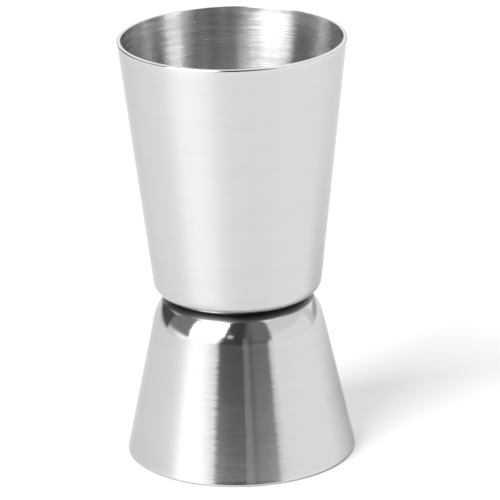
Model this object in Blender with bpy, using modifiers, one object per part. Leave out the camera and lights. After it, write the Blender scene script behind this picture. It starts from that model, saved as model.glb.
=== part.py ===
"""Bar jigger: a large and a small steel cup, held floor to floor by four spot welds.

Units are metres and +Z is up. The origin is the centre of the small cup's rim,
on which the jigger stands. Run it with: blender --background --python part.py
"""

import math

import bmesh
import bpy
from mathutils import Vector

# Driving dimensions.
TOTAL_HEIGHT = 0.0820
WAIST_HEIGHT = 0.0315  # the plane midway between the two cups' floors
FLOOR_GAP = 0.0003  # the floors stand this far apart, so that the solids never touch
SHEET = 0.0008  # the drawn steel's thickness

LARGE_MOUTH_RADIUS = 0.0217
LARGE_WALL_ANGLE = math.radians(6.6)  # the wall's lean away from the axis
LARGE_CORNER_RADIUS = 0.0031  # outside radius between wall and floor

SMALL_MOUTH_RADIUS = 0.0220
SMALL_WALL_ANGLE = math.radians(12.05)
SMALL_CORNER_RADIUS = 0.0050

LIP_OUTER_RADIUS = 0.00035
LIP_INNER_RADIUS = 0.00015

WELD_COUNT = 4
WELD_CIRCLE_RADIUS = 0.0066
WELD_FIRST_ANGLE = math.radians(45)
NUGGET_RADIUS = 0.0020
NUGGET_HALF_THICKNESS = 0.0003
NUGGET_CLEARANCE = 0.0003
ELECTRODE_MARK_RADIUS = 0.0022
ELECTRODE_MARK_DEPTH = 0.00008

# How finely round shapes are cut into flat facets.
TURNING_STEPS = 72
CORNER_STEPS = 6
LIP_STEPS = 3
NUGGET_SEGMENTS = 24
NUGGET_RINGS = 8
AXIS_MERGE = 0.00001


def clear_scene():
    """Remove everything that the file opened with."""
    for obj in list(bpy.data.objects):
        bpy.data.objects.remove(obj, do_unlink=True)


def new_collection(name, is_rendered=True):
    """A collection in the scene; cutters go in one that isn't rendered."""
    collection = bpy.data.collections.new(name)
    collection.hide_render = not is_rendered
    bpy.context.scene.collection.children.link(collection)
    return collection


def move_to(obj, collection):
    """Take an object out of its collections and put it in this one."""
    for current in list(obj.users_collection):
        current.objects.unlink(obj)
    collection.objects.link(obj)


def steel(name, grey, roughness):
    """A metal with a Principled BSDF."""
    material = bpy.data.materials.new(name)
    material.use_nodes = True
    shader = material.node_tree.nodes["Principled BSDF"]
    shader.inputs["Base Color"].default_value = (grey, grey, grey, 1.0)
    shader.inputs["Metallic"].default_value = 1.0
    shader.inputs["Roughness"].default_value = roughness
    return material


def corner_arc(before, corner, after, radius, steps):
    """Points of the arc that rounds a corner of an outline in the (radius, height) plane."""
    to_before = (before - corner).normalized()
    to_after = (after - corner).normalized()
    half_angle = to_before.angle(to_after) / 2
    bisector = (to_before + to_after).normalized()
    centre = corner + bisector * (radius / math.sin(half_angle))
    start = corner + to_before * (radius / math.tan(half_angle)) - centre
    end = corner + to_after * (radius / math.tan(half_angle)) - centre
    turn = start.angle_signed(end)
    points = []
    for step in range(steps + 1):
        angle = -turn * step / steps
        turned = Vector((
            start.x * math.cos(angle) - start.y * math.sin(angle),
            start.x * math.sin(angle) + start.y * math.cos(angle),
        ))
        points.append(centre + turned)
    return points


def cup_profile(mouth_radius, wall_angle, height, corner_radius):
    """Outline of an upright cup's wall and floor, from the floor's inside centre round the lip
    to its outside centre. The floor's underside is at height 0."""
    lean = math.tan(wall_angle)
    wall_width = SHEET / math.cos(wall_angle)  # the wall's thickness, measured level
    foot_radius = mouth_radius - height * lean

    inside_centre = Vector((0.0, SHEET))
    inside_corner = Vector((foot_radius + SHEET * lean - wall_width, SHEET))
    inner_lip = Vector((mouth_radius - wall_width, height))
    outer_lip = Vector((mouth_radius, height))
    outside_corner = Vector((foot_radius, 0.0))
    outside_centre = Vector((0.0, 0.0))

    inside_radius = corner_radius - SHEET
    return [
        inside_centre,
        *corner_arc(inside_centre, inside_corner, inner_lip, inside_radius, CORNER_STEPS),
        *corner_arc(inside_corner, inner_lip, outer_lip, LIP_INNER_RADIUS, LIP_STEPS),
        *corner_arc(inner_lip, outer_lip, outside_corner, LIP_OUTER_RADIUS, LIP_STEPS),
        *corner_arc(outer_lip, outside_corner, outside_centre, corner_radius, CORNER_STEPS),
        outside_centre,
    ]


def turned_object(name, profile, collection):
    """A profile in the XZ plane, spun about Z by a Screw modifier."""
    mesh = bpy.data.meshes.new(name)
    outline = bmesh.new()
    vertices = [outline.verts.new((point.x, 0.0, point.y)) for point in profile]
    for first, second in zip(vertices, vertices[1:]):
        outline.edges.new((first, second))
    outline.to_mesh(mesh)
    outline.free()

    obj = bpy.data.objects.new(name, mesh)
    collection.objects.link(obj)
    screw = obj.modifiers.new("turn", "SCREW")
    screw.axis = "Z"
    screw.angle = math.tau
    screw.steps = TURNING_STEPS
    screw.render_steps = TURNING_STEPS
    screw.use_merge_vertices = True
    screw.merge_threshold = AXIS_MERGE
    screw.use_smooth_shade = True
    return obj


def lens(name, radius, half_thickness, location, collection):
    """A flattened sphere, like two saucers rim to rim."""
    bpy.ops.mesh.primitive_uv_sphere_add(
        segments=NUGGET_SEGMENTS, ring_count=NUGGET_RINGS, radius=1.0, location=location
    )
    obj = bpy.context.active_object
    obj.name = name
    obj.scale = (radius, radius, half_thickness)
    bpy.ops.object.transform_apply(location=False, rotation=False, scale=True)
    obj.data.shade_smooth()
    move_to(obj, collection)
    return obj


def weld_places():
    """Where the welds lie in plan, evenly round their circle."""
    for index in range(WELD_COUNT):
        angle = WELD_FIRST_ANGLE + index * math.tau / WELD_COUNT
        yield WELD_CIRCLE_RADIUS * math.cos(angle), WELD_CIRCLE_RADIUS * math.sin(angle)


def cut(obj, cutter):
    """Take a cutter's shape out of an object."""
    boolean = obj.modifiers.new(cutter.name, "BOOLEAN")
    boolean.operation = "DIFFERENCE"
    boolean.solver = "EXACT"
    boolean.object = cutter


def as_cutter(obj):
    """Show an object as a wire guide, and leave it out of the part."""
    obj.hide_render = True
    obj.display_type = "WIRE"
    return obj


def make_cups(parts, material):
    """The large cup stands on the waist, and the small one is the same way round, turned over."""
    large_height = TOTAL_HEIGHT - WAIST_HEIGHT - FLOOR_GAP / 2
    small_height = WAIST_HEIGHT - FLOOR_GAP / 2

    large_profile = cup_profile(
        LARGE_MOUTH_RADIUS, LARGE_WALL_ANGLE, large_height, LARGE_CORNER_RADIUS
    )
    large_cup = turned_object("large_cup", large_profile, parts)
    large_cup.location.z = WAIST_HEIGHT + FLOOR_GAP / 2

    small_profile = cup_profile(
        SMALL_MOUTH_RADIUS, SMALL_WALL_ANGLE, small_height, SMALL_CORNER_RADIUS
    )
    small_cup = turned_object("small_cup", small_profile, parts)
    small_cup.location.z = WAIST_HEIGHT - FLOOR_GAP / 2
    small_cup.rotation_euler.x = math.pi

    for cup in (large_cup, small_cup):
        cup.data.materials.append(material)
    return large_cup, small_cup


def make_spot_welds(parts, cutters, cups, material):
    """Each weld is a lens of fused steel between the floors, lying in a hollow in both of them,
    with the electrodes' shallow round marks in the floors above and below it."""
    large_cup, small_cup = cups
    mark_height = FLOOR_GAP / 2 + SHEET
    for number, (x, y) in enumerate(weld_places(), start=1):
        weld = lens(
            f"spot_weld_{number}", NUGGET_RADIUS, NUGGET_HALF_THICKNESS,
            (x, y, WAIST_HEIGHT), parts,
        )
        weld.data.materials.append(material)

        hollow = as_cutter(lens(
            f"weld_hollow_{number}",
            NUGGET_RADIUS + NUGGET_CLEARANCE, NUGGET_HALF_THICKNESS + NUGGET_CLEARANCE,
            (x, y, WAIST_HEIGHT), cutters,
        ))
        for cup, side in ((large_cup, 1), (small_cup, -1)):
            mark = as_cutter(lens(
                f"{cup.name}_mark_{number}",
                ELECTRODE_MARK_RADIUS, 2 * ELECTRODE_MARK_DEPTH,
                (x, y, WAIST_HEIGHT + side * (mark_height + ELECTRODE_MARK_DEPTH)), cutters,
            ))
            cut(cup, hollow)
            cut(cup, mark)


def main():
    clear_scene()
    parts = new_collection("bar_jigger")
    cutters = new_collection("cutters", is_rendered=False)
    cup_steel = steel("cup_steel", grey=0.68, roughness=0.12)
    weld_steel = steel("weld_steel", grey=0.42, roughness=0.45)
    cups = make_cups(parts, cup_steel)
    make_spot_welds(parts, cutters, cups, weld_steel)


main()
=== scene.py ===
# %% [markdown]
# # A double bar jigger
#
# Two cups pressed from stainless sheet stand floor to floor. The tall one measures the large
# shot and the short, wider-flared one the small shot. The steel was polished outside while it
# turned, and rubbed with an abrasive inside, so all its lines run round the axis.
#
# The solids, with every size, come packed from the CAD model. This file turns fine meshes in
# their places, gives them their finish, and sets up a white table with a soft studio round it.

import math

import bmesh
import bpy
import numpy as np
from mathutils import Matrix, Vector


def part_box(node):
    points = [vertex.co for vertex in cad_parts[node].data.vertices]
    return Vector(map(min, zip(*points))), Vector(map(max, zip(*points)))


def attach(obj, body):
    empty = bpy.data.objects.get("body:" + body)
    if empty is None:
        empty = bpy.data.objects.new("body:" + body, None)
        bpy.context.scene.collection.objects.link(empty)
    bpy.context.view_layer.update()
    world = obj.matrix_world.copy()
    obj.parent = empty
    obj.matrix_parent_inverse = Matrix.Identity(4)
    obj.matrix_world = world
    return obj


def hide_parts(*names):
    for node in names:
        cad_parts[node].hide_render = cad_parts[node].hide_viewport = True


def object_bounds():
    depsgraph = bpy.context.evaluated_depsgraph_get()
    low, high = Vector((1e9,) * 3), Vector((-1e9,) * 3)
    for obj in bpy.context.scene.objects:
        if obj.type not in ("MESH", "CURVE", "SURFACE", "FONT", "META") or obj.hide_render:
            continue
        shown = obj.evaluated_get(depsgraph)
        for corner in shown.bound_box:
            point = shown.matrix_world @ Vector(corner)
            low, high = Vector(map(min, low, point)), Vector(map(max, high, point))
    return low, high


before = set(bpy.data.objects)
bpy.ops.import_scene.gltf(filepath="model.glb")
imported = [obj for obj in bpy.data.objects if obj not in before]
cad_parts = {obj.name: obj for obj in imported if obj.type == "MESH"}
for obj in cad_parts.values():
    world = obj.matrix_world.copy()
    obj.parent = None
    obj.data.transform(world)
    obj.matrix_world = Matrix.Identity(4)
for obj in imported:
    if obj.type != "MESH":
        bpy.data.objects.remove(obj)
cad_low, cad_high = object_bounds()
HEIGHT = cad_high.z - cad_low.z
MM = 0.001
print(f"The jigger is {HEIGHT / MM:.1f} mm high, with {len(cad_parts)} CAD nodes")

# %% [markdown]
# ## The camera
#
# A long lens from nine heights away keeps the two mouths almost equally wide, and it looks down
# far enough to see into the cup. It could be aimed with a Track To constraint, but plain turns
# one after another say exactly where it points.

# %% Camera
CAMERA_PLACE = Vector((0.0, -9.052, 3.651)) * HEIGHT
CAMERA_DOWN = math.radians(19.282)
CAMERA_YAW = math.radians(0.193)
CAMERA_ROLL = math.radians(-1.307)

camera_data = bpy.data.cameras.new("camera")
camera_data.lens = 297.1
camera_data.sensor_width = 36.0
camera_data.clip_end = 20.0
camera = bpy.data.objects.new("camera", camera_data)
bpy.context.scene.collection.objects.link(camera)
camera.matrix_world = (
    Matrix.Translation(CAMERA_PLACE)
    @ Matrix.Rotation(-CAMERA_YAW, 4, "Z")
    @ Matrix.Rotation(math.pi / 2 - CAMERA_DOWN, 4, "X")
    @ Matrix.Rotation(CAMERA_ROLL, 4, "Z")
)
bpy.context.scene.camera = camera
print(f"The camera is {CAMERA_PLACE.length:.2f} m from the jigger's foot")

# %% [markdown]
# ## Reading the cups' places
#
# Each cup's box in the frame gives its two ends. The rest of a cup's section is a few sizes that
# a maker would write on a drawing: the mouth's radius, the wall's lean, the corner's radius and
# the sheet's thickness. The crevice is how far from the floor the polishing wheel can't reach.

# %% Sizes
SHEET = 0.8 * MM
CUPS = {
    "large_cup": {
        "mouth": 21.7 * MM,
        "lean": math.radians(6.6),
        "corner": 3.1 * MM,
        "crevice": 0.30 * MM,
        "opens": 1,
    },
    "small_cup": {
        "mouth": 22.0 * MM,
        "lean": math.radians(12.05),
        "corner": 5.0 * MM,
        "crevice": 0.95 * MM,
        "opens": -1,
    },
}
for name, cup in CUPS.items():
    low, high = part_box(name)
    cup["floor"], cup["rim"] = (low.z, high.z) if cup["opens"] > 0 else (high.z, low.z)
    print(f"{name}: underside of floor at {cup['floor'] / MM:.2f} mm, rim at {cup['rim'] / MM:.2f} mm")

WELDS = [f"spot_weld_{number}" for number in range(1, 5)]
WELD_CENTRES = [sum(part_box(weld), Vector()) / 2 for weld in WELDS]
print(f"{len(WELDS)} welds, {WELD_CENTRES[0].xy.length / MM:.2f} mm from the axis")

# %% [markdown]
# ## Turning a cup
#
# A drawn cup is a body of revolution, so its section is spun about the axis. Only the corners of
# the section are given. Rounding them afterwards, with a bevel on the rings that they turn into,
# keeps the walls exactly straight and gives every rounding its true radius. The floors are cut
# into many rings first, because the welds will be pressed into them.
#
# The small cup's outside corner is softer than a single radius. A short flank, a cone leaning 38
# degrees, lies between wall and floor, and its two ends are rounded separately.

# %% Section and spin
AROUND = 256
FLOOR_RINGS = 40
FLOOR_MARGIN = 0.1 * MM  # flat floor left between the last ring and the rounding
LIP_INSIDE = 0.15 * MM
LIP_OUTSIDE = 0.35 * MM
FLANK_SLOPE = math.radians(38)
FLANK_TO_FLOOR = 3.0 * MM
FLANK_TO_WALL = 9.0 * MM
SAME_POINT = 1e-6  # points nearer than a thousandth of a millimetre count as one


def rounding_reach(radius, before, here, after):
    """How far a rounding of this radius reaches along each side of a corner."""
    angle = (Vector(before) - Vector(here)).angle(Vector(after) - Vector(here))
    return radius / math.tan(angle / 2)


def flank(cup, foot, reach):
    """The two ends of the small cup's flank, a short cone that touches the corner's circle."""
    down_wall = reach - cup["corner"] * math.tan((FLANK_SLOPE - cup["lean"]) / 2)
    along_floor = reach - cup["corner"] * math.tan((math.pi / 2 - FLANK_SLOPE) / 2)
    on_wall = (foot + down_wall * math.sin(cup["lean"]), down_wall * math.cos(cup["lean"]))
    return [on_wall, (foot - along_floor, 0.0)]


def section(cup):
    """The corners of a cup's section, as (radius, height), from inside to outside, with a point
    on each floor where its rings end, and the roundings as (corner's number, radius, segments)."""
    depth = abs(cup["rim"] - cup["floor"])
    lean = math.tan(cup["lean"])
    across = SHEET / math.cos(cup["lean"])  # the wall's thickness, measured level
    foot = cup["mouth"] - depth * lean
    inside = [(0.0, SHEET), (foot + SHEET * lean - across, SHEET), (cup["mouth"] - across, depth)]
    outside = [(cup["mouth"], depth), (foot, 0.0), (0.0, 0.0)]
    inside_flat = inside[1][0] - rounding_reach(cup["corner"] - SHEET, *inside) - FLOOR_MARGIN
    reach = rounding_reach(cup["corner"], *outside)
    roundings = [(2, cup["corner"] - SHEET, 14), (3, LIP_INSIDE, 4), (4, LIP_OUTSIDE, 6)]
    if cup["opens"] > 0:
        roundings.append((5, cup["corner"], 14))
    else:
        outside[1:2] = flank(cup, foot, reach)
        roundings += [(5, FLANK_TO_WALL, 10), (6, FLANK_TO_FLOOR, 10)]
        reach = rounding_reach(FLANK_TO_FLOOR, *outside[1:]) + foot - outside[2][0]
    inside.insert(1, (inside_flat, SHEET))
    outside.insert(-1, (foot - reach - FLOOR_MARGIN, 0.0))
    return inside + outside, roundings


def spin_section(corners):
    """A closed, sharp-cornered solid of revolution, with both floors cut into rings."""
    bm = bmesh.new()
    points = [bm.verts.new((radius, 0.0, height)) for radius, height in corners]
    lines = [bm.edges.new(pair) for pair in zip(points, points[1:])]
    bmesh.ops.subdivide_edges(bm, edges=[lines[0], lines[-1]], cuts=FLOOR_RINGS - 1)
    bmesh.ops.spin(
        bm, geom=bm.verts[:] + bm.edges[:], cent=(0, 0, 0), axis=(0, 0, 1),
        angle=math.tau, steps=AROUND, use_merge=True,
    )
    bmesh.ops.remove_doubles(bm, verts=bm.verts, dist=SAME_POINT / 10)
    return bm


for name, cup in CUPS.items():
    cup["section"], cup["roundings"] = section(cup)
    cup["mesh"] = spin_section(cup["section"])
    print(f"{name}: {len(cup['mesh'].faces)} faces after the spin")

# %% [markdown]
# ## Rounding the corners
#
# The press leaves a large radius between wall and floor, the same centre inside and out because
# the sheet keeps its thickness. The rims are trimmed, and their two edges are broken by tumbling
# so that they don't cut a lip. The small cup's flank runs into its wall with a wide radius and
# into its floor with a tight one. A bevel's width is how far it reaches along each face, so each
# radius is turned into that length from the angle between the two faces.

# %% Bevel the rings
def ring(bm, corner):
    """The edges of the ring that a corner of the section turned into."""
    radius, height = corner
    near = [
        vert for vert in bm.verts
        if abs(vert.co.z - height) < SAME_POINT and abs(vert.co.xy.length - radius) < SAME_POINT
    ]
    chosen = set(near)
    return [
        edge for edge in bm.edges
        if edge.verts[0] in chosen and edge.verts[1] in chosen
    ]


def round_corner(bm, corners, index, radius, segments):
    """Round one ring to a true radius."""
    reach = rounding_reach(radius, *corners[index - 1:index + 2])
    bmesh.ops.bevel(
        bm, geom=ring(bm, corners[index]), offset=reach, offset_type="OFFSET",
        segments=segments, profile=0.5, affect="EDGES", material=-1, clamp_overlap=False,
    )


for name, cup in CUPS.items():
    bm, corners = cup["mesh"], cup["section"]
    for index, radius, segments in cup["roundings"]:
        round_corner(bm, corners, index, radius, segments)
    print(f"{name}: {len(bm.faces)} faces after rounding")

# %% [markdown]
# ## Pressing in the welds
#
# Two electrodes squeeze the floors together and pass a current, which fuses a small lens of steel
# between them. Each leaves a shallow round dimple on the floor it touched, with a low ridge where
# the hot steel was pushed aside. The lens lies in a hollow half in each floor. Both are made by
# moving the floor's own points, since a Boolean would leave a ring of sliver faces.

# %% Dimples and hollows
MARK_RADIUS = 1.9 * MM
MARK_DEPTH = 0.08 * MM
HOLLOW_RADIUS = 2.3 * MM
HOLLOW_DEPTH = 0.45 * MM
RIDGE_AT = 1.12  # where the ridge stands and how wide it is, in radii of the dimple
RIDGE_WIDTH = 0.12
MARK_RIDGE = 0.3  # the ridge's height, as a share of the dimple's depth


def press(bm, centres, height, into, radius, depth, ridge):
    """Press round hollows into the flat face at this height; into is +1 up or -1 down."""
    floor = [vert for vert in bm.verts if abs(vert.co.z - height) < SAME_POINT]
    for vert in floor:
        for centre in centres:
            share = (vert.co.xy - centre.xy).length / radius
            bowl = max(0.0, 1 - share * share)
            lift = ridge * math.exp(-(((share - RIDGE_AT) / RIDGE_WIDTH) ** 2))
            vert.co.z += into * depth * (bowl - lift)


def place(bm, cup):
    """Stand a cup on its floor's height, and turn the small one mouth down."""
    if cup["opens"] < 0:
        bmesh.ops.rotate(bm, verts=bm.verts, cent=(0, 0, 0), matrix=Matrix.Rotation(math.pi, 3, "X"))
    bmesh.ops.translate(bm, verts=bm.verts, vec=(0, 0, cup["floor"]))


for name, cup in CUPS.items():
    bm = cup["mesh"]
    place(bm, cup)
    inside_floor = cup["floor"] + cup["opens"] * SHEET
    press(bm, WELD_CENTRES, inside_floor, -cup["opens"], MARK_RADIUS, MARK_DEPTH, MARK_RIDGE)
    press(bm, WELD_CENTRES, cup["floor"], cup["opens"], HOLLOW_RADIUS, HOLLOW_DEPTH, 0.0)
    bmesh.ops.recalc_face_normals(bm, faces=bm.faces)
    print(f"{name}: encloses {bm.calc_volume() / MM ** 3:.0f} cubic mm of steel")

# %% [markdown]
# ## From bmesh to finished objects
#
# A polished wall shows the slightest error in its shading. Smooth shading alone would lean the
# wall's normals towards the small corner faces beside it, so each point's normal is the mean of
# the faces round it, weighted by their area, and the long wall wins. Two point attributes say
# where the steel changes: crevice is 1 at the waist, where the polishing wheel can't reach and
# painted shade darkens the steel, and heat is 1 over the middle of each weld.

# %% Objects
HEAT_REACH = 2.9 * MM
FLOOR_ZONE = 1.2 * SHEET  # takes in both sides of the floor and the dimples in it


def area_weighted_normals(mesh):
    """Shade smooth, with normals that follow the largest faces."""
    normals = np.zeros((len(mesh.vertices), 3))
    for face in mesh.polygons:
        normals[list(face.vertices)] += face.area * np.array(face.normal)
    normals /= np.linalg.norm(normals, axis=1, keepdims=True)
    mesh.shade_smooth()
    mesh.normals_split_custom_set_from_vertices(normals)


def mark_nearness(mesh, attribute, height, reach):
    """Store 1 at this height, falling to 0 at reach above or below it."""
    places = np.zeros(len(mesh.vertices) * 3)
    mesh.vertices.foreach_get("co", places)
    distance = np.abs(places.reshape(-1, 3)[:, 2] - height)
    nearness = mesh.attributes.new(attribute, "FLOAT", "POINT")
    nearness.data.foreach_set("value", np.clip(1 - distance / reach, 0, 1))


def mark_heat(mesh, cup):
    """Store 1 over each weld's centre, falling to 0 at HEAT_REACH, on the floor only."""
    heat = mesh.attributes.new("heat", "FLOAT", "POINT")
    for vert in mesh.vertices:
        near_floor = abs(vert.co.z - cup["floor"]) < FLOOR_ZONE
        distance = min((vert.co.xy - centre.xy).length for centre in WELD_CENTRES)
        heat.data[vert.index].value = max(0.0, 1 - distance / HEAT_REACH) if near_floor else 0.0


for name, cup in CUPS.items():
    mesh = bpy.data.meshes.new(f"{name}_turned")
    cup["mesh"].to_mesh(mesh)
    cup["mesh"].free()
    area_weighted_normals(mesh)
    mark_nearness(mesh, "crevice", cup["floor"], 2 * cup["crevice"])
    mark_heat(mesh, cup)
    piece = bpy.data.objects.new(f"{name}_turned", mesh)
    bpy.context.scene.collection.objects.link(piece)
    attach(piece, "root")
    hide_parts(name)
    cup["piece"] = piece
    print(f"{piece.name}: {len(mesh.polygons)} faces")

# %% [markdown]
# ## Node helpers
#
# Every finish below is a small network of nodes, and a few helpers keep the wiring short. They
# add a node and fill in or link its inputs, add a sum on numbers or on vectors, start a node
# group with named inputs and outputs, and place such a group in a material.

# %% Helpers for nodes
def add(tree, kind, inputs=(), **settings):
    """Add a node; inputs maps a socket's name or number to a value or to another socket."""
    node = tree.nodes.new(kind)
    for key, value in settings.items():
        setattr(node, key, value)
    for key, value in dict(inputs).items():
        if isinstance(value, bpy.types.NodeSocket):
            tree.links.new(value, node.inputs[key])
        else:
            node.inputs[key].default_value = value
    return node


def maths(tree, operation, *values, clamp=False):
    """The result of a Math node."""
    return add(tree, "ShaderNodeMath", enumerate(values), operation=operation, use_clamp=clamp).outputs[0]


def vectors(tree, operation, *values, **named):
    """The vector result of a Vector Math node."""
    inputs = {**dict(enumerate(values)), **named}
    return add(tree, "ShaderNodeVectorMath", inputs, operation=operation).outputs[0]


def smooth_step(tree, value, start, end, low=0.0, high=1.0):
    """A smooth step from low to high as the value goes from start to end."""
    inputs = {0: value, 1: start, 2: end, 3: low, 4: high}
    step = add(tree, "ShaderNodeMapRange", inputs, interpolation_type="SMOOTHSTEP")
    return step.outputs[0]


def new_group(name, inputs, outputs, kind="NodeSocketFloat"):
    """A node group with float inputs (name to default) and outputs of one kind."""
    group = bpy.data.node_groups.new(name, "ShaderNodeTree")
    for socket, default in inputs.items():
        made = group.interface.new_socket(socket, in_out="INPUT", socket_type="NodeSocketFloat")
        made.default_value = default
    for socket in outputs:
        group.interface.new_socket(socket, in_out="OUTPUT", socket_type=kind)
    start = group.nodes.new("NodeGroupInput")
    end = group.nodes.new("NodeGroupOutput")
    return group, start.outputs, end.inputs


def use(tree, group, **values):
    """Place a group in a material with its own values, and return its outputs."""
    node = tree.nodes.new("ShaderNodeGroup")
    node.node_tree = group
    for socket, value in values.items():
        node.inputs[socket.replace("_", " ")].default_value = value
    return node.outputs


print("Helpers ready")

# %% [markdown]
# ## Lines round the axis
#
# Polishing and brushing on a lathe leave fine lines along circles about the axis. A noise that is
# long round the axis and very short across it gives them. The distance across is the radius plus
# or minus the height, which grows steadily along the floor and then up the wall, so one pattern
# covers the whole cup with no seam.

# %% Group: turned lines
def turned_place(group, given):
    """Object coordinates, stretched so that a noise on them makes lines round the axis."""
    place_at = add(group, "ShaderNodeTexCoord").outputs["Object"]
    x, y, z = add(group, "ShaderNodeSeparateXYZ", {0: place_at}).outputs
    flat = add(group, "ShaderNodeCombineXYZ", {0: x, 1: y}).outputs[0]
    radius = add(group, "ShaderNodeVectorMath", {0: flat}, operation="LENGTH").outputs["Value"]
    across = maths(group, "MULTIPLY_ADD", z, given["Opens"], radius)
    along_scale = maths(group, "DIVIDE", 1 / MM, given["Line length mm"])
    across_scale = maths(group, "DIVIDE", 1 / MM, given["Line width mm"])
    return add(group, "ShaderNodeCombineXYZ", {
        0: maths(group, "MULTIPLY", x, along_scale),
        1: maths(group, "MULTIPLY", y, along_scale),
        2: maths(group, "MULTIPLY", across, across_scale),
    }).outputs[0]


BAND_SCALE = (0.35, 0.35, 0.12)  # bands are about three lines long and eight lines wide


def make_turned_lines():
    group, given, result = new_group(
        "turned_lines",
        {"Opens": 1.0, "Line width mm": 0.3, "Line length mm": 6.0, "Raggedness": 0.6},
        ("Lines", "Bands"),
    )
    stretched = turned_place(group, given)
    fine = add(group, "ShaderNodeTexNoise", {
        "Vector": stretched, "Scale": 1.0, "Detail": 3.0, "Roughness": given["Raggedness"],
    })
    broad_place = vectors(group, "MULTIPLY", stretched, BAND_SCALE)
    broad = add(group, "ShaderNodeTexNoise", {
        "Vector": broad_place, "Scale": 1.0, "Detail": 2.0, "Roughness": 0.5,
    })
    group.links.new(fine.outputs[0], result["Lines"])
    group.links.new(broad.outputs[0], result["Bands"])
    return group


TURNED_LINES = make_turned_lines()
print("Group turned_lines made")

# %% [markdown]
# ## Lines that sway
#
# Close to, a polishing line isn't quite level: each one leans a degree or so round the wall, one
# way or the other. That is why the upright edge of a reflection looks combed. A bump can't show
# it, since lines this long hardly slope along their length, so the normal itself is leaned round
# the axis by a noise that changes from line to line.

# %% Group: line sway
SWAY_SHIFT = (9.0, 4.0, 17.0)  # moves the noise, so that the sway doesn't follow the lines
SWAY_GAIN = 0.07  # lean for each degree of sway, as the noise stays near its middle


def make_line_sway():
    group, given, result = new_group(
        "line_sway",
        {"Opens": 1.0, "Line width mm": 0.25, "Line length mm": 4.0, "Sway degrees": 1.0},
        ("Normal",), kind="NodeSocketVector",
    )
    shifted = vectors(group, "ADD", turned_place(group, given), SWAY_SHIFT)
    noise = add(group, "ShaderNodeTexNoise", {"Vector": shifted, "Scale": 1.0, "Detail": 2.0})
    normal = add(group, "ShaderNodeNewGeometry").outputs["Normal"]
    round_axis = vectors(group, "CROSS_PRODUCT", (0, 0, 1), normal)
    off_middle = maths(group, "SUBTRACT", noise.outputs[0], 0.5)
    most = maths(group, "MULTIPLY", given["Sway degrees"], SWAY_GAIN)
    lean = maths(group, "MULTIPLY", off_middle, most)
    leaned = vectors(group, "SCALE", round_axis, Scale=lean)
    total = vectors(group, "ADD", normal, leaned)
    group.links.new(vectors(group, "NORMALIZE", total), result["Normal"])
    return group


LINE_SWAY = make_line_sway()
print("Group line_sway made")

# %% [markdown]
# ## Handling marks
#
# A jigger is rinsed, stacked and dropped in a sink all evening. It picks up hairline scratches
# that cross the polish in every direction, and a few tiny pits. The hairlines are the places
# where a stretched, turned noise passes through its middle value, kept only in scattered patches.

# %% Group: handling marks
# Each set of hairlines: how its noise is turned, in degrees, and how fine it is.
HAIRLINE_SETS = (((20, 55, 10), 260.0), ((-50, 15, 70), 340.0), ((75, -30, -25), 300.0))
HAIRLINE_STRETCH = 0.06
HAIRLINE_THINNESS = 160.0
PATCH_FINENESS = 1.6  # patches of hairlines, against the hairlines' own scale
PATCH_FROM = 0.56  # the noise has to pass this for a patch
PATCH_EDGE = 9.0
PIT_CELLS = 700.0
PIT_SMALLNESS = 9.0
PIT_FROM = 0.9  # one cell in ten holds a pit


def make_handling_marks():
    group, given, result = new_group(
        "handling_marks",
        {"Hairline amount": 0.5, "Pit amount": 0.5},
        ("Hairlines", "Pits", "Smears"),
    )
    place_at = add(group, "ShaderNodeTexCoord").outputs["Object"]
    total = None
    for turn, scale in HAIRLINE_SETS:
        turned = add(group, "ShaderNodeMapping", {
            "Vector": place_at, "Rotation": tuple(math.radians(angle) for angle in turn),
            "Scale": (scale * HAIRLINE_STRETCH, scale, scale),
        }).outputs[0]
        noise = add(group, "ShaderNodeTexNoise", {"Vector": turned, "Scale": 1.0, "Detail": 1.0})
        off_middle = maths(group, "ABSOLUTE", maths(group, "SUBTRACT", noise.outputs[0], 0.5))
        off_line = maths(group, "MULTIPLY", off_middle, HAIRLINE_THINNESS)
        line = maths(group, "SUBTRACT", 1.0, off_line, clamp=True)
        patches = add(group, "ShaderNodeTexNoise", {
            "Vector": place_at, "Scale": scale * PATCH_FINENESS, "Detail": 0.0,
        })
        over = maths(group, "SUBTRACT", patches.outputs[0], PATCH_FROM)
        patch = maths(group, "MULTIPLY", over, PATCH_EDGE, clamp=True)
        kept = maths(group, "MULTIPLY", line, patch)
        total = kept if total is None else maths(group, "MAXIMUM", total, kept)
    group.links.new(maths(group, "MULTIPLY", total, given["Hairline amount"]), result["Hairlines"])

    cells = add(group, "ShaderNodeTexVoronoi", {"Vector": place_at, "Scale": PIT_CELLS}, feature="F1")
    chance = add(group, "ShaderNodeSeparateColor", {0: cells.outputs["Color"]}).outputs[0]
    off_centre = maths(group, "MULTIPLY", cells.outputs["Distance"], PIT_SMALLNESS)
    spot = maths(group, "SUBTRACT", 1.0, off_centre, clamp=True)
    pits = maths(group, "MULTIPLY", spot, maths(group, "GREATER_THAN", chance, PIT_FROM))
    group.links.new(maths(group, "MULTIPLY", pits, given["Pit amount"]), result["Pits"])

    smears = add(group, "ShaderNodeTexNoise", {
        "Vector": place_at, "Scale": 110.0, "Detail": 3.0, "Roughness": 0.55, "Distortion": 0.6,
    })
    group.links.new(smears.outputs[0], result["Smears"])
    return group


HANDLING_MARKS = make_handling_marks()
print("Group handling_marks made")

# %% [markdown]
# ## Wear at the lip
#
# Years of pouring and of standing upside down rub the rim brighter than the wall. The wear is
# measured down from the rim, and a noise breaks its edge up. The group works the distance out
# from the point's own height, because the wall has no ring of points where the wear ends.

# %% Group: lip wear
WEAR_RAGGED = 0.6  # how far the noise moves the wear's edge, in mm
WEAR_FADE = 1.6  # how fast the wear fades at its edge, for each mm


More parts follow.
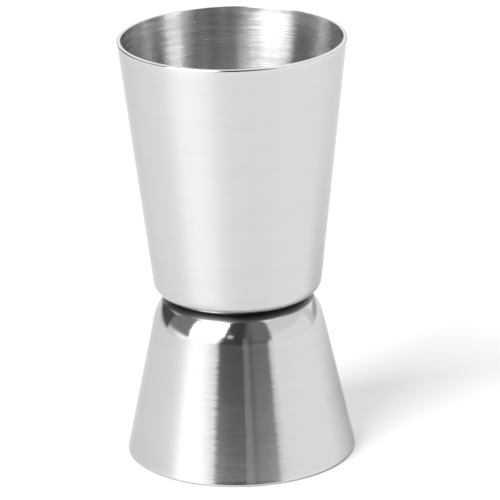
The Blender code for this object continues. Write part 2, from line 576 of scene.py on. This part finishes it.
def make_lip_wear():
    group, given, result = new_group("lip_wear", {"Rim mm": 0.0, "Reach mm": 1.25}, ("Wear",))
    place_at = add(group, "ShaderNodeTexCoord").outputs["Object"]
    height = add(group, "ShaderNodeSeparateXYZ", {0: place_at}).outputs[2]
    height_mm = maths(group, "DIVIDE", height, MM)
    from_rim = maths(group, "ABSOLUTE", maths(group, "SUBTRACT", height_mm, given["Rim mm"]))
    ragged = add(group, "ShaderNodeTexNoise", {"Vector": place_at, "Scale": 900.0, "Detail": 2.0})
    off_middle = maths(group, "SUBTRACT", ragged.outputs[0], 0.5)
    edge = maths(group, "MULTIPLY_ADD", off_middle, WEAR_RAGGED, given["Reach mm"])
    wear = maths(group, "MULTIPLY", maths(group, "SUBTRACT", edge, from_rim), WEAR_FADE, clamp=True)
    group.links.new(wear, result["Wear"])
    return group


LIP_WEAR = make_lip_wear()
print("Group lip_wear made")

# %% [markdown]
# ## The dull crevice at the waist, darkened with painted shade
#
# A buffing wheel can't reach into the crevice where the two floors meet, so the steel there stays
# dull and rougher. The soft dark line round the waist is painted shade: the steel's colour is
# darkened there, where shade falls between the two cups. The crevice attribute is 1 at the floor
# and passes a half where the wheel begins to touch.

# %% Group: crevice dullness and painted shade
CREVICE_EDGE_RAGGED = 0.12


def make_crevice_dullness_and_shade():
    # The output darkens the steel's colour with painted shade in the crevice and makes it rougher.
    group, given, result = new_group("crevice_dullness_and_shade", {"Softness": 0.12}, ("Dullness and shade",))
    crevice = add(group, "ShaderNodeAttribute", attribute_name="crevice").outputs["Fac"]
    place_at = add(group, "ShaderNodeTexCoord").outputs["Object"]
    ragged = add(group, "ShaderNodeTexNoise", {"Vector": place_at, "Scale": 1400.0, "Detail": 3.0})
    off_middle = maths(group, "SUBTRACT", ragged.outputs[0], 0.5)
    level = maths(group, "ADD", crevice, maths(group, "MULTIPLY", off_middle, CREVICE_EDGE_RAGGED))
    clean = maths(group, "SUBTRACT", 0.5, given["Softness"])
    full = maths(group, "ADD", 0.5, given["Softness"])
    group.links.new(smooth_step(group, level, clean, full), result["Dullness and shade"])
    return group


CREVICE_DULLNESS_AND_SHADE = make_crevice_dullness_and_shade()
print("Group crevice_dullness_and_shade made")

# %% [markdown]
# ## Heat stain over the welds
#
# The welding current heats the floor to a straw colour in a ring round each electrode's mark, and
# the mark itself is pressed a little duller. Scrubbing takes most of the stain away again, so it
# stays faint. The heat attribute is 1 over a weld's centre.

# %% Group: heat stain
STAIN_RAGGED = 0.15
MARK_EDGE = 6.0


def make_heat_stain():
    group, given, result = new_group(
        "heat_stain", {"Ring at": 0.32, "Ring width": 0.30}, ("Stain", "Mark"),
    )
    heat = add(group, "ShaderNodeAttribute", attribute_name="heat").outputs["Fac"]
    place_at = add(group, "ShaderNodeTexCoord").outputs["Object"]
    ragged = add(group, "ShaderNodeTexNoise", {"Vector": place_at, "Scale": 800.0, "Detail": 3.0})
    off_middle = maths(group, "SUBTRACT", ragged.outputs[0], 0.5)
    level = maths(group, "ADD", heat, maths(group, "MULTIPLY", off_middle, STAIN_RAGGED))
    past_ring = maths(group, "SUBTRACT", level, given["Ring at"])
    off_ring = maths(group, "DIVIDE", maths(group, "ABSOLUTE", past_ring), given["Ring width"])
    stain = maths(group, "SUBTRACT", 1.0, off_ring, clamp=True)
    mark = maths(group, "MULTIPLY", past_ring, MARK_EDGE, clamp=True)
    group.links.new(stain, result["Stain"])
    group.links.new(mark, result["Mark"])
    return group


HEAT_STAIN = make_heat_stain()
print("Group heat_stain made")

# %% [markdown]
# ## The steel's finish
#
# Stainless steel takes a high polish but keeps its lines, which smear every reflection along the
# wall and hardly at all round it. The shader does that with anisotropy, its tangent turned along
# the wall, and the lines themselves are a very low bump. Outside the polish is nearly a mirror.
# Inside, the brushing is coarser, so the outside and the inside are two materials.

# %% Steel materials
STRAW = (1.0, 0.86, 0.62, 1.0)
WEAR_BRIGHTENS = 0.06
# Painted shade: how much the steel's colour is darkened in the crevice between the cups.
CREVICE_PAINTED_SHADE = 0.72
CREVICE_ROUGHENS = 0.30
PITS_DARKEN = 0.6
MARKS_DARKEN = 0.22
STAIN_SHOWS = 0.55
ACROSS_THE_LINES = 0.25  # a quarter turn, so that the reflections smear across the lines


def steel_colour(tree, grey, streaks, lines, marks, wear, crevice_dull_shade, stained_floor):
    """The steel's grey, streaked by its lines, brighter where worn and with painted shade in the crevice.
    """
    tone = maths(tree, "MULTIPLY_ADD", lines["Lines"], streaks, 1 - streaks / 2)
    bands = maths(tree, "MULTIPLY_ADD", lines["Bands"], streaks / 2, 1 - streaks / 4)
    tone = maths(tree, "MULTIPLY", tone, bands)
    tone = maths(tree, "MULTIPLY", tone, maths(tree, "MULTIPLY_ADD", marks["Pits"], -PITS_DARKEN, 1.0))
    tone = maths(tree, "MULTIPLY_ADD", wear, WEAR_BRIGHTENS, tone)
    # Painted shade: darker in the crevice between the cups.
    tone = maths(tree, "MULTIPLY", tone, maths(tree, "MULTIPLY_ADD", crevice_dull_shade, -CREVICE_PAINTED_SHADE, 1.0))
    colour = vectors(tree, "SCALE", grey, Scale=tone)
    if stained_floor:
        heat = use(tree, HEAT_STAIN)
        darker = maths(tree, "MULTIPLY_ADD", heat["Mark"], -MARKS_DARKEN, 1.0)
        colour = vectors(tree, "SCALE", colour, Scale=darker)
        stain = maths(tree, "MULTIPLY", heat["Stain"], STAIN_SHOWS)
        inputs = {0: stain, 6: colour, 7: STRAW}
        mixed = add(tree, "ShaderNodeMix", inputs, data_type="RGBA", blend_type="MULTIPLY")
        colour = mixed.outputs[2]
    return colour


def steel_roughness(tree, rough, lines, marks, wear, crevice_dull_shade):
    """Rougher in the lines, hairlines, smears and crevice, and smoother where worn."""
    roughness = maths(tree, "MULTIPLY_ADD", lines["Lines"], rough * 0.4, rough * 0.7)
    roughness = maths(tree, "MULTIPLY_ADD", marks["Smears"], rough * 0.2, roughness)
    roughness = maths(tree, "MULTIPLY_ADD", marks["Hairlines"], 0.1, roughness)
    roughness = maths(tree, "MULTIPLY_ADD", wear, -rough * 0.3, roughness)
    return maths(tree, "MULTIPLY_ADD", crevice_dull_shade, CREVICE_ROUGHENS, roughness)


def steel(
    name, cup, line_width, line_length, grey, rough, streaks, bump, sway, anisotropy,
    hairlines, pits, dull_shaded_crevice, stained_floor, edge_tint,
):
    """One cup's steel. Widths and lengths are in mm and the sway in degrees."""
    material = bpy.data.materials.new(name)
    material.use_nodes = True
    tree = material.node_tree
    shader = tree.nodes["Principled BSDF"]
    opens = cup["opens"]
    lines = use(
        tree, TURNED_LINES, Opens=opens, Line_width_mm=line_width, Line_length_mm=line_length,
    )
    marks = use(tree, HANDLING_MARKS, Hairline_amount=hairlines, Pit_amount=pits)
    wear = use(tree, LIP_WEAR, Rim_mm=cup["rim"] / MM)["Wear"]
    # In the crevice the colour gets painted shade and the roughness rises.
    crevice_dull_shade = use(tree, CREVICE_DULLNESS_AND_SHADE)["Dullness and shade"] if dull_shaded_crevice else 0.0

    colour = steel_colour(tree, grey, streaks, lines, marks, wear, crevice_dull_shade, stained_floor)
    tree.links.new(colour, shader.inputs["Base Color"])
    roughness = steel_roughness(tree, rough, lines, marks, wear, crevice_dull_shade)
    tree.links.new(roughness, shader.inputs["Roughness"])

    height = maths(tree, "MULTIPLY_ADD", marks["Hairlines"], -0.5, lines["Lines"])
    height = maths(tree, "MULTIPLY_ADD", marks["Pits"], -2.0, height)
    swayed = use(
        tree, LINE_SWAY, Opens=opens, Line_width_mm=line_width,
        Line_length_mm=line_length * 0.6, Sway_degrees=sway,
    )
    relief = add(tree, "ShaderNodeBump", {
        "Height": height, "Strength": 1.0, "Distance": bump, "Normal": swayed["Normal"],
    })
    tree.links.new(relief.outputs[0], shader.inputs["Normal"])

    round_axis = add(tree, "ShaderNodeTangent", direction_type="RADIAL", axis="Z")
    tree.links.new(round_axis.outputs[0], shader.inputs["Tangent"])
    shader.inputs["Metallic"].default_value = 1.0
    shader.inputs["Specular Tint"].default_value = (edge_tint, edge_tint, edge_tint, 1.0)
    shader.inputs["Anisotropic"].default_value = anisotropy
    shader.inputs["Anisotropic Rotation"].default_value = ACROSS_THE_LINES
    return material


POLISHED = {
    "line_width": 0.20, "line_length": 12.0, "grey": (0.54, 0.54, 0.54), "rough": 0.11,
    "streaks": 0.10, "bump": 0.0010 * MM, "sway": 1.1, "anisotropy": 0.7, "hairlines": 0.2,
    "pits": 0.4, "dull_shaded_crevice": True, "stained_floor": False, "edge_tint": 0.75,
}
BRUSHED = {
    "line_width": 0.15, "line_length": 4.5, "grey": (0.565, 0.565, 0.565), "rough": 0.25,
    "streaks": 0.60, "bump": 0.0013 * MM, "sway": 1.6, "anisotropy": 1.0, "hairlines": 0.15,
    "pits": 0.8, "dull_shaded_crevice": False, "stained_floor": True, "edge_tint": 0.95,
}
for name, cup in CUPS.items():
    outside = steel(f"{name}_polished", cup, **POLISHED)
    inside = steel(f"{name}_brushed", cup, **BRUSHED)
    cup["piece"].data.materials.append(outside)
    cup["piece"].data.materials.append(inside)
    print(f"{name}: {outside.name} outside, {inside.name} inside")

# %% [markdown]
# ## Which faces are inside
#
# A face belongs to the inside if it looks towards the axis or, on a floor or a lip, if it looks
# out of the mouth. The lip's flat land keeps the outside polish, as it is buffed with it.

# %% Assign the two finishes
LIP_LAND = 0.2 * MM  # polished depth below the rim

for name, cup in CUPS.items():
    mesh = cup["piece"].data
    inside_count = 0
    for face in mesh.polygons:
        centre, normal = face.center, face.normal
        depth = (cup["rim"] - centre.z) * cup["opens"]
        inward = -(normal.x * centre.x + normal.y * centre.y)
        looks_in = inward > 0 or normal.z * cup["opens"] > 0.5
        if looks_in and depth > LIP_LAND:
            face.material_index = 1
            inside_count += 1
    print(f"{name}: {inside_count} of {len(mesh.polygons)} faces are brushed")

# %% [markdown]
# ## The welds
#
# The fused lenses are sealed between the floors. Fused steel is dull and grainy, with a straw
# and blue heat tint, and the CAD nodes already have the right shape, so they only get a material.

# %% Weld material
GRAIN_HEIGHT = 0.02 * MM
BLUE_TINT = (0.30, 0.32, 0.38, 1)
STRAW_TINT = (0.50, 0.44, 0.34, 1)


def make_weld_steel():
    material = bpy.data.materials.new("fused_steel")
    material.use_nodes = True
    tree = material.node_tree
    shader = tree.nodes["Principled BSDF"]
    place_at = add(tree, "ShaderNodeTexCoord").outputs["Object"]
    grain = add(tree, "ShaderNodeTexVoronoi", {"Vector": place_at, "Scale": 5000.0})
    tint = add(tree, "ShaderNodeTexNoise", {"Vector": place_at, "Scale": 600.0, "Detail": 3.0})
    ramp = add(tree, "ShaderNodeValToRGB", {0: tint.outputs[0]})
    blue, straw = ramp.color_ramp.elements
    blue.position, blue.color = 0.35, BLUE_TINT
    straw.position, straw.color = 0.65, STRAW_TINT
    tree.links.new(ramp.outputs[0], shader.inputs["Base Color"])
    rough = maths(tree, "MULTIPLY_ADD", grain.outputs["Distance"], 0.3, 0.35)
    tree.links.new(rough, shader.inputs["Roughness"])
    relief = add(tree, "ShaderNodeBump", {
        "Height": grain.outputs["Distance"], "Strength": 1.0, "Distance": GRAIN_HEIGHT,
    })
    tree.links.new(relief.outputs[0], shader.inputs["Normal"])
    shader.inputs["Metallic"].default_value = 1.0
    return material


FUSED_STEEL = make_weld_steel()
for weld in WELDS:
    materials = bpy.data.objects[weld].data.materials
    materials.clear()
    materials.append(FUSED_STEEL)
print(f"{len(WELDS)} welds have their finish")

# %% [markdown]
# ## The table
#
# The jigger stands on a plain white sheet. Its back side is clear, and it has a hole hidden under
# the rim, so that a camera below the table can look up into the small cup and finds light there.

# %% Table
TABLE_RADIUS = 3.0
HOLE_RADIUS = CUPS["small_cup"]["mouth"] - 0.7 * SHEET  # ends under the rim's own thickness
TABLE_DROP = 0.02 * MM  # keeps the table's face off the rim's


def make_table():
    bm = bmesh.new()
    rims = []
    for radius in (TABLE_RADIUS, HOLE_RADIUS):
        circle = bmesh.ops.create_circle(bm, segments=96, radius=radius)["verts"]
        rims += list({edge for vert in circle for edge in vert.link_edges})
    bmesh.ops.bridge_loops(bm, edges=rims)
    bmesh.ops.recalc_face_normals(bm, faces=bm.faces)
    looking_down = [face for face in bm.faces if face.normal.z < 0]
    bmesh.ops.reverse_faces(bm, faces=looking_down)
    mesh = bpy.data.meshes.new("table")
    bm.to_mesh(mesh)
    bm.free()
    table = bpy.data.objects.new("table", mesh)
    bpy.context.scene.collection.objects.link(table)
    table.location.z = cad_low.z - TABLE_DROP

    material = bpy.data.materials.new("white_sheet")
    material.use_nodes = True
    tree = material.node_tree
    shader = tree.nodes["Principled BSDF"]
    shader.inputs["Base Color"].default_value = (0.76, 0.76, 0.76, 1)
    shader.inputs["Roughness"].default_value = 0.5
    shader.inputs["Specular IOR Level"].default_value = 0.5
    behind = add(tree, "ShaderNodeNewGeometry").outputs["Backfacing"]
    clear = add(tree, "ShaderNodeBsdfTransparent")
    mixed = add(tree, "ShaderNodeMixShader", {0: behind, 1: shader.outputs[0], 2: clear.outputs[0]})
    tree.links.new(mixed.outputs[0], tree.nodes["Material Output"].inputs["Surface"])
    mesh.materials.append(material)
    return table


make_table()
print("Table in place")

# %% [markdown]
# ## The studio
#
# Polished steel is only as good as what it mirrors. The studio is a white tent. A large softbox
# with a glow round it stands at the front left, a paler wall on the right and a lit backdrop
# behind. The dim gap at the front is where the camera looks in, and the narrow dark uprights in it
# are the stand's legs. Dark flags on the left and a gap overhead give the steel its dark edges,
# because bright steel in an all-white room looks like plastic.
#
# A lamp below the table only shows when a camera looks up from there. Everything is painted on
# the world by direction, so no panel stands in the way when the camera moves, and the camera
# itself sees plain white behind the jigger.

# %% Studio directions
world = bpy.data.worlds.new("studio")
bpy.context.scene.world = world
world.use_nodes = True
sky = world.node_tree
direction = add(sky, "ShaderNodeTexCoord").outputs["Generated"]
east, north, up = add(sky, "ShaderNodeSeparateXYZ", {0: direction}).outputs
IN_DEGREES = 180 / math.pi
south = maths(sky, "MULTIPLY", north, -1.0)
AZIMUTH = maths(sky, "MULTIPLY", maths(sky, "ARCTAN2", east, south), IN_DEGREES)
ELEVATION = maths(sky, "MULTIPLY", maths(sky, "ARCSINE", up), IN_DEGREES)


def window(value, low, high, soft):
    """1 between low and high degrees, fading to 0 over soft degrees on either side."""
    rise = smooth_step(sky, value, low - soft, low + soft)
    fall = smooth_step(sky, value, high + soft, high - soft)
    return maths(sky, "MULTIPLY", rise, fall)


def panel(behind, brightness, azimuth, elevation, soft_across, soft_up, lean=0.0):
    """Paint a panel over what is behind it. Azimuth 0 is towards the camera, 90 to the right."""
    above_level = maths(sky, "MAXIMUM", ELEVATION, 0.0)
    across = maths(sky, "MULTIPLY_ADD", above_level, -lean, AZIMUTH)
    covered = maths(
        sky, "MULTIPLY", window(across, *azimuth, soft_across), window(ELEVATION, *elevation, soft_up)
    )
    mix = add(sky, "ShaderNodeMix", {0: covered, 2: behind, 3: brightness})
    return mix.outputs[0]


print("Directions ready")

# %% [markdown]
# ## The panels
#
# Each panel says how bright it is, where it begins and ends in azimuth and in elevation, and how
# softly it fades across and up, all in degrees. A last number leans it to the right as it rises.
# A panel covers the ones before it, so the small ones come last.

# %% Panels
PANELS = {
    "under the table": (0.60, (-200, 200), (-100, -24), 1, 3),
    "lamp under the table": (2.4, (-70, 30), (-72, -38), 10, 8),
    "right wall": (1.22, (44, 112), (-20, 22), 2, 3),
    "right wall, higher": (1.05, (44, 125), (22, 48), 4, 4),
    "backdrop": (1.52, (128, 200), (8, 55), 10, 4),
    "backdrop's foot": (0.62, (124, 200), (-20, 8), 10, 4),
    "backdrop, left end": (1.52, (-200, -150), (8, 55), 4, 4),
    "backdrop's foot, left end": (0.60, (-200, -150), (-20, 8), 4, 4),
    "glow round the softbox": (2.2, (-92, -30), (6, 54), 12, 5),
    "glow below the softbox": (1.70, (-88, -38), (-8, 12), 12, 4),
    "flag beside the softbox": (0.30, (-112, -71), (9, 80), 3, 2),
    "black flag at the back": (0.10, (-150, -110), (3, 27), 3, 2),
    "softbox, lower half": (7.0, (-68, -33), (13, 32), 4, 6),
    "softbox, upper half": (12.0, (-69, -16), (26, 54), 4, 6),
    "gap overhead": (0.22, (-200, 200), (76, 100), 1, 4),
    "gap at the front": (0.19, (-27, 38), (-20, 80), 3, 5, 0.2),
    "gap's right side": (0.24, (20, 45), (12, 72), 3, 3),
    "gap's dark left half": (0.07, (-27, 4), (-20, 80), 5, 6, 0.2),
    "first upright": (0.02, (2.5, 4.0), (-20, 22), 0.5, 1),
    "strip between uprights": (0.25, (4.6, 12), (-20, 22), 0.5, 1),
    "second upright": (0.02, (12.4, 13.4), (-20, 22), 0.5, 1),
    "third upright": (0.02, (15.0, 16.0), (-20, 22), 0.5, 1),
    "small lamp in the gap": (1.4, (-16, -9), (23, 27), 2, 1.5),
}
WALLS, CEILING = 1.0, 1.6
CEILING_FROM, CEILING_FULL = 30.0, 65.0

light = smooth_step(sky, ELEVATION, CEILING_FROM, CEILING_FULL, WALLS, CEILING)
for settings in PANELS.values():
    light = panel(light, *settings)

seen = add(sky, "ShaderNodeLightPath").outputs["Is Camera Ray"]
shown = add(sky, "ShaderNodeMix", {0: seen, 2: light, 3: 1.0}).outputs[0]
sky.links.new(shown, sky.nodes["Background"].inputs["Color"])
bpy.context.scene.view_settings.view_transform = "Standard"
print(f"{len(PANELS)} panels painted")

# %% [markdown]
# ## Finishing
#
# The jigger's box, as measured from the CAD model at the start, is printed in millimetres.

# %% Finish
print("CAD box", [round(v / MM, 3) for v in (*cad_low, *cad_high)])
